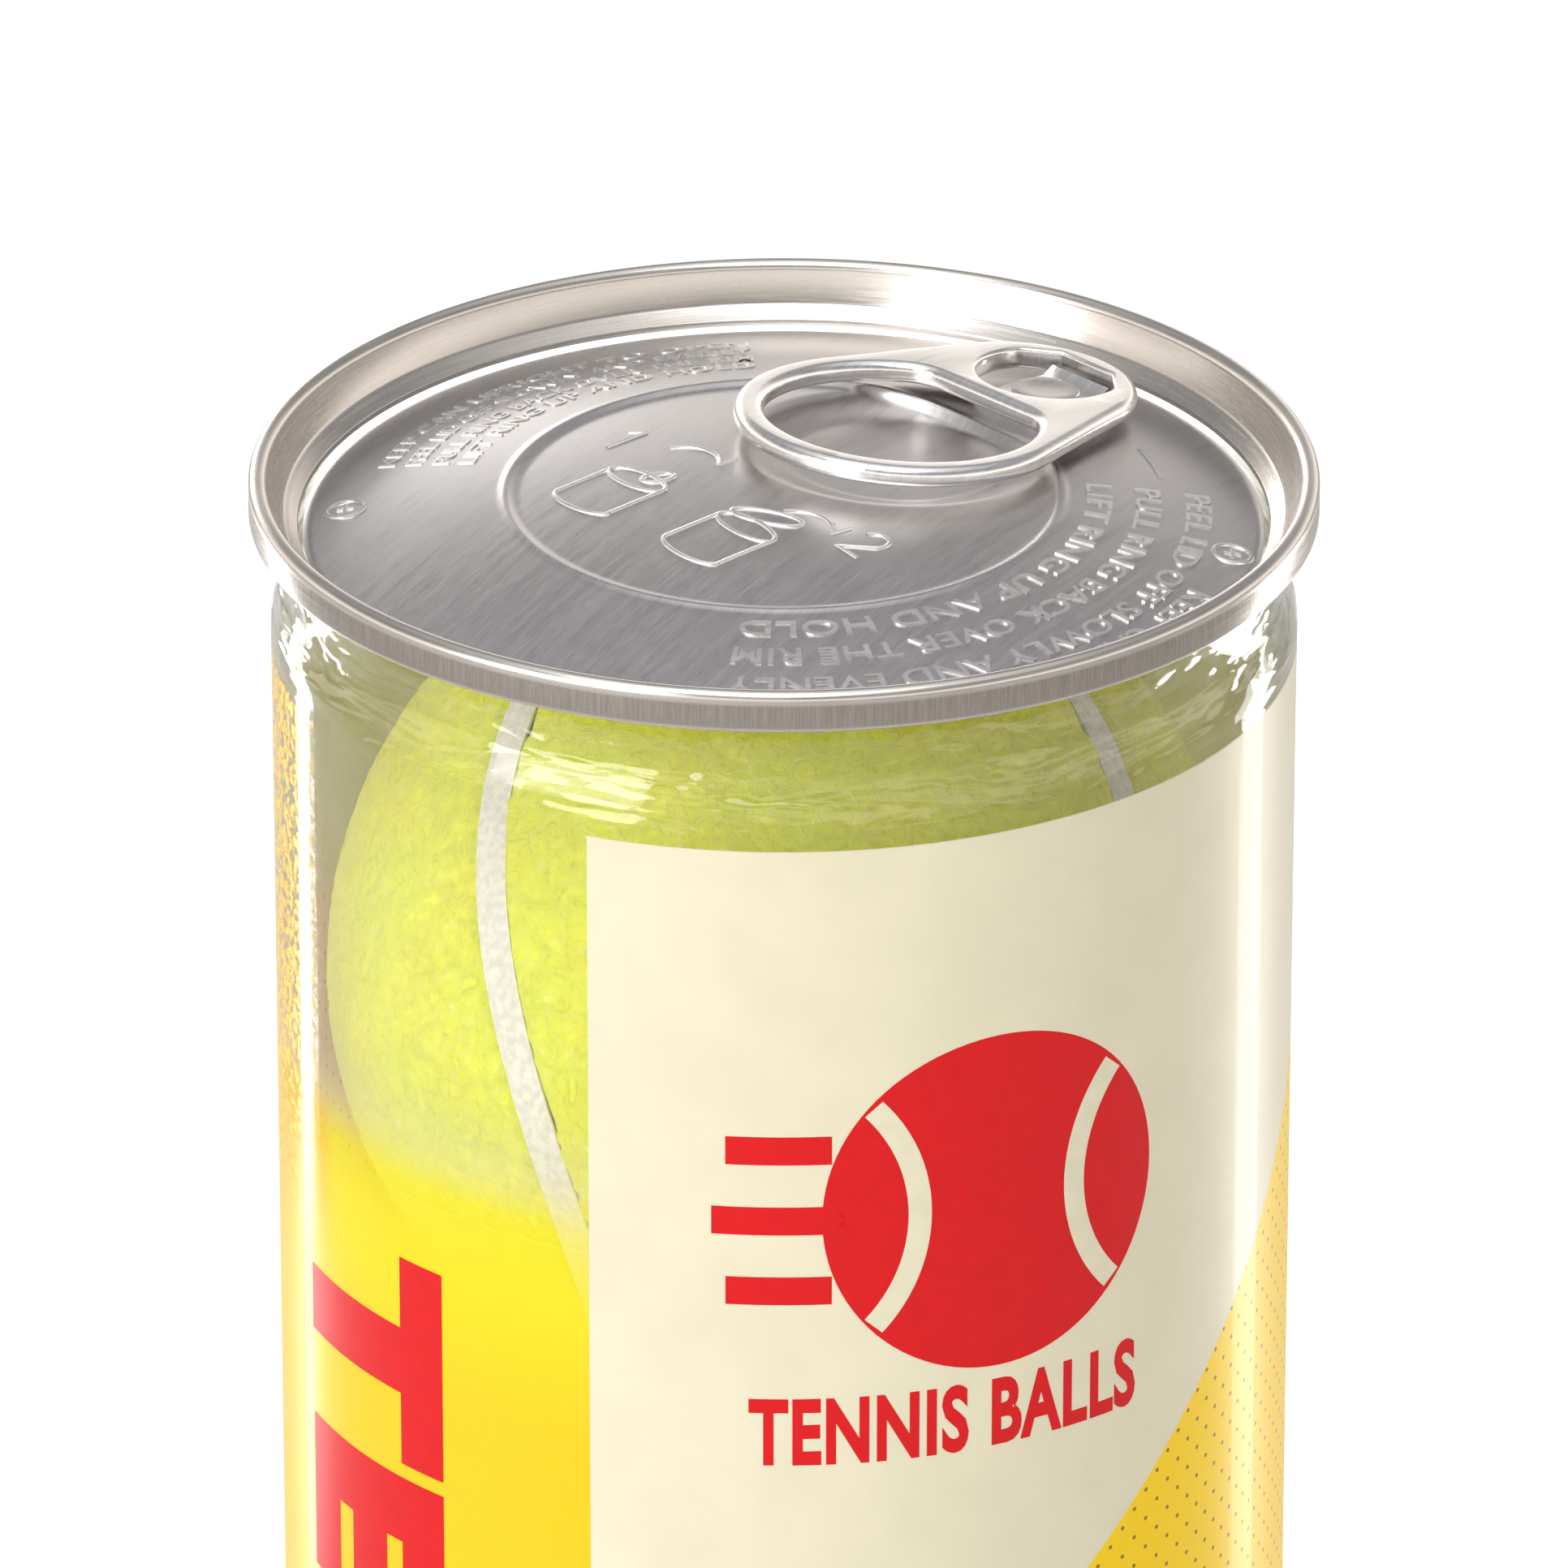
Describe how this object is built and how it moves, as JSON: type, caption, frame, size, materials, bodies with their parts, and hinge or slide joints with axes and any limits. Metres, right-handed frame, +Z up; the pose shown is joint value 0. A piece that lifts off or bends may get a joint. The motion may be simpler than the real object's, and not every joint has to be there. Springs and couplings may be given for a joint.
{
  "type": "tennis ball can",
  "caption": "Clear sealed can with printed film and a peel-off ring-tab metal end, holding felt-covered balls in a stack.",
  "frame": {"origin": "centre of the base, on the plane that the can stands on", "axes": "+Z up along the can; the tab lies between +X and +Y; the printed front faces -Y"},
  "size_m": [0.0763, 0.0762, 0.211],
  "materials": {
    "clear_pet": "clear, glossy",
    "printed_film": "printed shrink film, clear at the neck and one side",
    "end_aluminium": "fine brushed, satin",
    "tab_aluminium": "satin, rolled edge",
    "seam_compound": "matt",
    "core_rubber": "matt",
    "ball_felt": "woolly felt",
    "ball_seam": "matt"
  },
  "bodies": {
    "can": {"can_body": "clear_pet", "label_sleeve": "printed_film", "end_ring": "end_aluminium", "sealing_compound": "seam_compound"},
    "panel": {"end_panel": "end_aluminium", "tab_tongue": "tab_aluminium"},
    "tab": {"pull_tab": "tab_aluminium"},
    "ball_bottom": {"ball_bottom_core_upper": "core_rubber", "ball_bottom_core_lower": "core_rubber", "ball_bottom_felt_a": "ball_felt", "ball_bottom_felt_b": "ball_felt", "ball_bottom_seam": "ball_seam"},
    "ball_middle": {"ball_middle_core_upper": "core_rubber", "ball_middle_core_lower": "core_rubber", "ball_middle_felt_a": "ball_felt", "ball_middle_felt_b": "ball_felt", "ball_middle_seam": "ball_seam"},
    "ball_top": {"ball_top_core_upper": "core_rubber", "ball_top_core_lower": "core_rubber", "ball_top_felt_a": "ball_felt", "ball_top_felt_b": "ball_felt", "ball_top_seam": "ball_seam"}
  },
  "joints": [
    {"name": "panel_peel", "type": "hinge", "parent": "can", "child": "panel", "pos_m": [-0.02513, -0.02385, 0.2062], "axis": [0.6884, -0.7254, 0], "range_deg": [0, 90]},
    {"name": "tab_lift", "type": "hinge", "parent": "panel", "child": "tab", "pos_m": [0.02228, 0.02114, 0.20711], "axis": [-0.6884, 0.7254, 0], "range_deg": [0, 90]},
    {"name": "ball_bottom_play", "type": "slide", "parent": "can", "child": "ball_bottom", "axis": [0, 0, 1], "range_m": [0, 0.00135]},
    {"name": "ball_middle_play", "type": "slide", "parent": "ball_bottom", "child": "ball_middle", "axis": [0, 0, 1], "range_m": [0, 0.00135]},
    {"name": "ball_top_play", "type": "slide", "parent": "ball_middle", "child": "ball_top", "axis": [0, 0, 1], "range_m": [0, 0.00135]}
  ]
}
